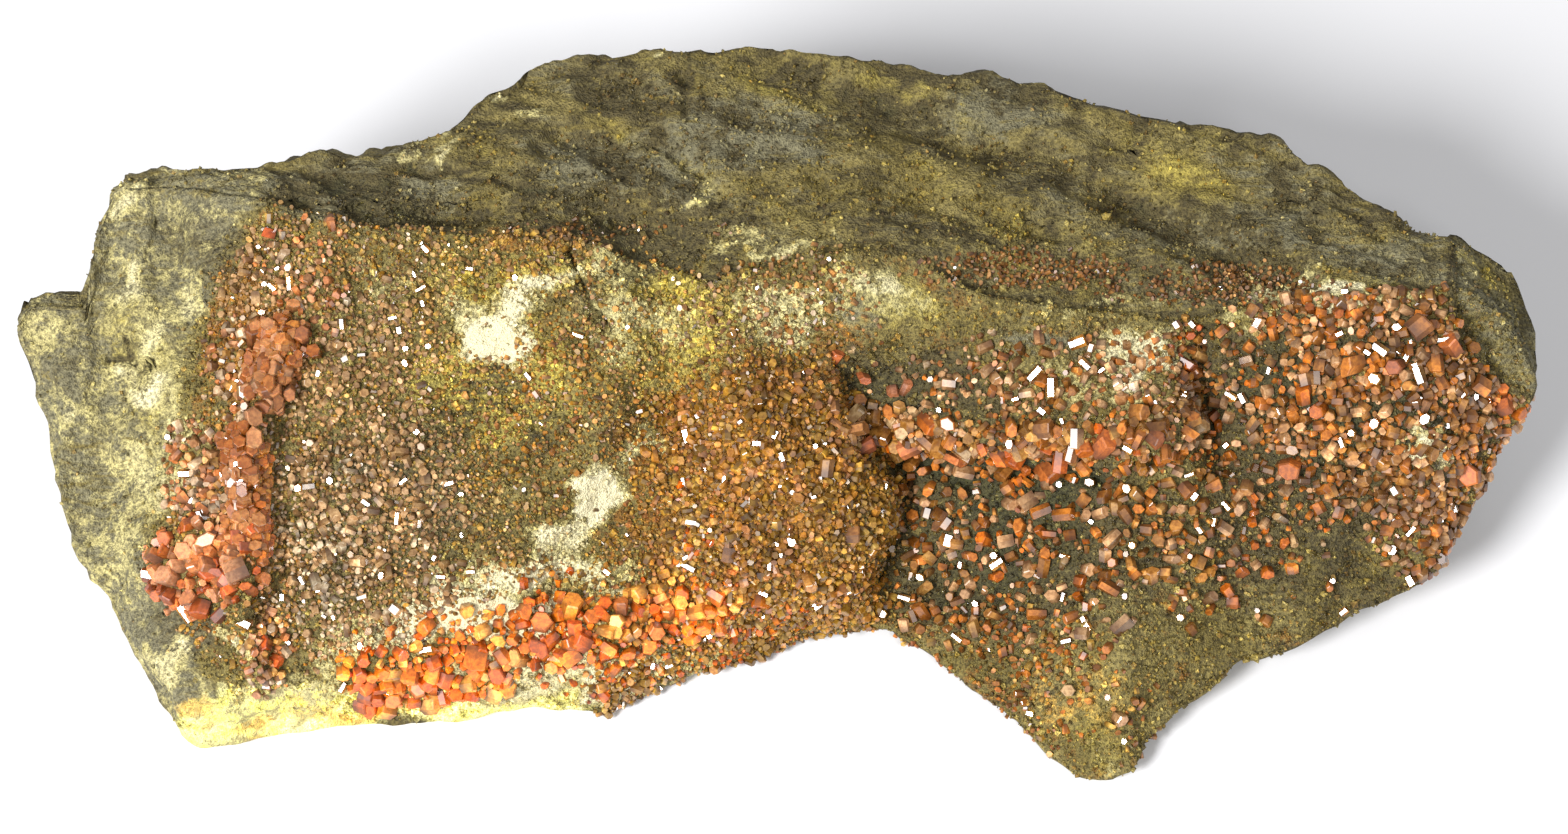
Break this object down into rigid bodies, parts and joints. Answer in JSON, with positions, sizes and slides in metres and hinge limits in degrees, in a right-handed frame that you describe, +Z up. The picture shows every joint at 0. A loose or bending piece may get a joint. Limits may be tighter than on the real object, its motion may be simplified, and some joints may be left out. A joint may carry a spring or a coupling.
{
  "type": "vanadinite specimen",
  "caption": "Broken block of olive-brown rock with a leaning face crusted with short hexagonal orange-red to brown vanadinite crystals, standing on its flat underside.",
  "frame": {"origin": "middle of the outline on the surface that the specimen stands on", "axes": "+X along the block's length, +Y to its broken rear, +Z up; the crystal face looks towards -Y and up"},
  "size_m": [0.1542, 0.0723, 0.038],
  "materials": {
    "rock": "dull, granular",
    "red_crystal": "glossy, translucent",
    "orange_crystal": "glossy, translucent",
    "brown_crystal": "glossy, translucent"
  },
  "bodies": {
    "root": {"matrix": "rock", "crystals_left_vein": "red_crystal", "crystals_front_edge": "orange_crystal", "crystals_buttress": "brown_crystal", "crystals_ledge": "orange_crystal", "crystals_plate": "brown_crystal", "crystals_right_end": "brown_crystal"}
  },
  "joints": []
}
